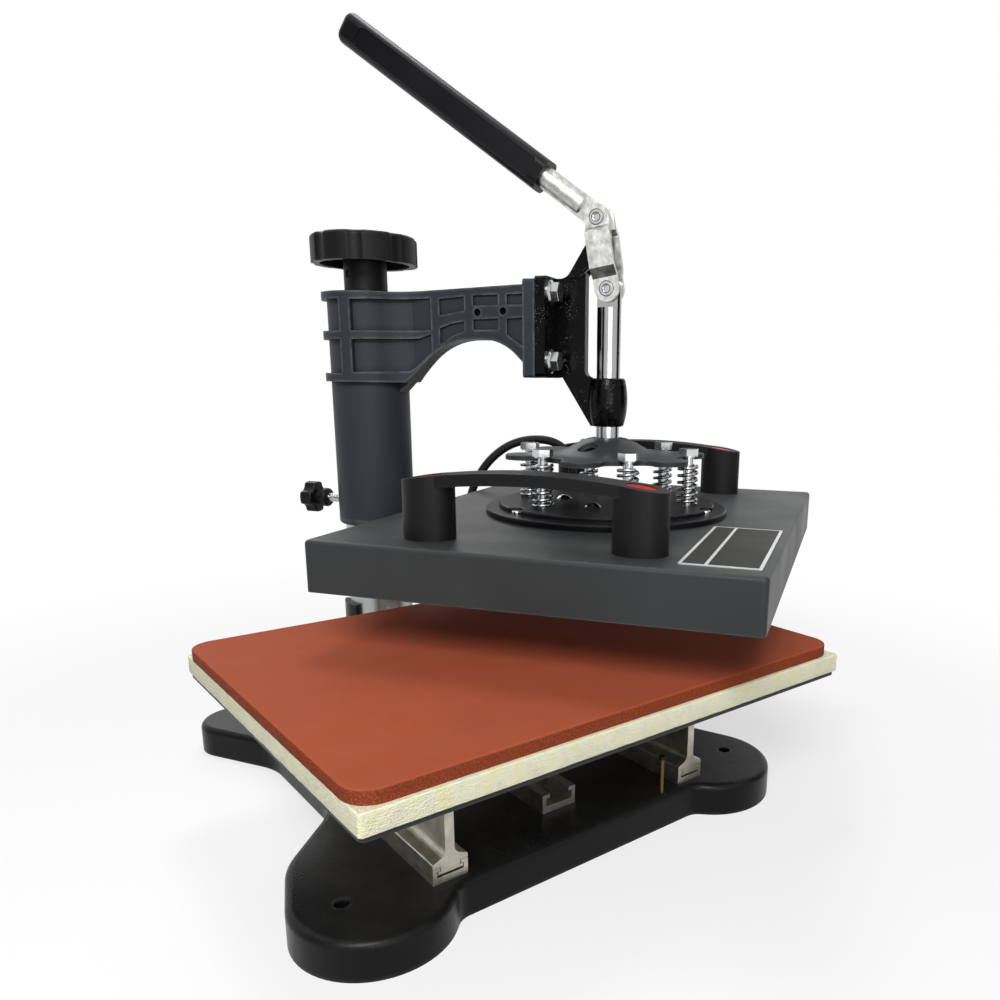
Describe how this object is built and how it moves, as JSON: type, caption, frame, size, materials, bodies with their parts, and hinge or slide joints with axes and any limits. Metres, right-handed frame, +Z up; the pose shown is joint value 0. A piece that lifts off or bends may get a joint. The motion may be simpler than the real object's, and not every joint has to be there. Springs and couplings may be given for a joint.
{
  "type": "sublimation heat press",
  "caption": "Swing-away heat press: toggle lever head on a swinging ribbed arm, sprung heated platen and a padded table that slides out on rails.",
  "frame": {"origin": "underside of the base, midway between the front and the back pair of bench bolt holes", "axes": "+X to the user's right, +Y to the back, where the column stands, and +Z up"},
  "size_m": [0.5622, 0.4852, 0.6042],
  "materials": {
    "iron_base": "black satin paint",
    "arm_paint": "dark grey fine powder coat",
    "bracket_paint": "gloss black paint",
    "cover_paint": "dark grey fine powder coat",
    "plate_paint": "dark grey powder coat",
    "bright_steel": "chromed, bright",
    "zinc_steel": "zinc plated",
    "lever_steel": "bright satin",
    "post_steel": "ground bright",
    "spring_steel": "bright wire",
    "bronze": "machined",
    "stud_brass": "bright",
    "rail_aluminium": "grey anodised",
    "heater_aluminium": "cast, machined face",
    "element_steel": "dull",
    "felt": "pressed felt, cream",
    "pad_silicone": "silicone sponge, brick red",
    "insulation": "pressed fibre",
    "black_plastic": "moulded, fine texture",
    "plug_red": "moulded, glossy",
    "label_black": "bare black with a silver border",
    "lead_sheath": "black sheath"
  },
  "bodies": {
    "stand": {"base_casting": "iron_base", "column_socket": "iron_base", "socket_bolts": "bright_steel", "column_post": "post_steel", "lift_nut": "bronze", "channel_left": "rail_aluminium", "channel_centre": "rail_aluminium", "channel_right": "rail_aluminium", "channel_screws": "zinc_steel", "travel_stud": "stud_brass", "stud_cap": "black_plastic"},
    "table": {"table_plate": "zinc_steel", "rail_screws": "zinc_steel", "felt_board": "felt", "silicone_pad": "pad_silicone", "table_rail_left": "rail_aluminium", "table_rail_centre": "rail_aluminium", "table_rail_right": "rail_aluminium"},
    "lift": {"keyed_ring": "bronze"},
    "arm": {"swing_arm": "arm_paint", "ring_clip": "zinc_steel", "thrust_bearing": "zinc_steel", "top_washer": "bronze", "head_bracket": "bracket_paint", "bracket_bolts": "bright_steel", "lever_pivot_pin": "zinc_steel"},
    "handwheel": {"lift_screw": "zinc_steel", "handwheel": "black_plastic", "stem_set_screw": "zinc_steel"},
    "lock_slide": {"lock_pad": "bronze"},
    "lock": {"lock_stud": "bright_steel", "lock_knob": "black_plastic"},
    "lever": {"lever_bar": "lever_steel", "lever_grip": "black_plastic", "link_pin": "lever_steel"},
    "link": {"link_plates": "lever_steel", "link_rivets": "lever_steel"},
    "plunger": {"plunger_rod": "bright_steel", "plunger_pin": "lever_steel", "plunger_nut": "bright_steel", "spider": "plate_paint"},
    "platen": {"shoulder_bolts": "bright_steel", "platen_springs": "spring_steel", "platen_cover": "cover_paint", "heater_plate": "heater_aluminium", "heater_element": "element_steel", "insulation_board": "insulation", "thermostat": "zinc_steel", "base_disc": "plate_paint", "stamped_plate": "plate_paint", "dome_screws": "bright_steel", "disc_screws": "bright_steel", "handle_left": "black_plastic", "handle_right": "black_plastic", "handle_plugs": "plug_red", "handle_screws": "zinc_steel", "label_plate": "label_black", "cable_gland": "zinc_steel", "heater_lead": "lead_sheath", "lead_plug": "black_plastic"}
  },
  "joints": [
    {"name": "table_slide", "type": "slide", "parent": "stand", "child": "table", "axis": [0, -1, 0], "range_m": [-0.007, 0.14]},
    {"name": "arm_lift", "type": "slide", "parent": "stand", "child": "lift", "axis": [0, 0, 1], "range_m": [0, 0.015]},
    {"name": "arm_swing", "type": "hinge", "parent": "lift", "child": "arm", "pos_m": [0, 0.125, 0.205], "axis": [0, 0, 1], "range_deg": [-33, 67]},
    {"name": "handwheel_turn", "type": "hinge", "parent": "arm", "child": "handwheel", "pos_m": [0, 0.125, 0.4], "axis": [0, 0, 1], "range_deg": [0, 1081]},
    {"name": "lock_travel", "type": "slide", "parent": "arm", "child": "lock_slide", "axis": [-0.5446, 0.8387, 0], "range_m": [0, 0.003]},
    {"name": "lock_turn", "type": "hinge", "parent": "lock_slide", "child": "lock", "pos_m": [0, 0.125, 0.215], "axis": [-0.5446, 0.8387, 0], "range_deg": [0, 721]},
    {"name": "plunger_slide", "type": "slide", "parent": "arm", "child": "plunger", "axis": [0, 0, -1], "range_m": [0, 0.0437]},
    {"name": "lever_turn", "type": "hinge", "parent": "arm", "child": "lever", "pos_m": [0.11383, -0.05028, 0.42396], "axis": [0.8387, 0.5446, 0], "range_deg": [0, 173.1]},
    {"name": "link_turn", "type": "hinge", "parent": "lever", "child": "link", "pos_m": [0.11383, -0.05028, 0.4457], "axis": [0.8387, 0.5446, 0], "range_deg": [-170.3, 0]},
    {"name": "platen_float", "type": "slide", "parent": "plunger", "child": "platen", "axis": [0, 0, 1], "range_m": [0, 0.008], "stiffness_N_per_m": 15000, "deforming": ["platen_springs"]}
  ],
  "couplings": [
    {"joint": "handwheel_turn", "follows": "arm_lift", "rad_per_m": 1256.6},
    {"joint": "lock_turn", "follows": "lock_travel", "rad_per_m": 4188.8},
    {"joint": "lever_turn", "follows": "plunger_slide", "rad_per_m": 69.12},
    {"joint": "link_turn", "follows": "plunger_slide", "rad_per_m": -67.97}
  ]
}
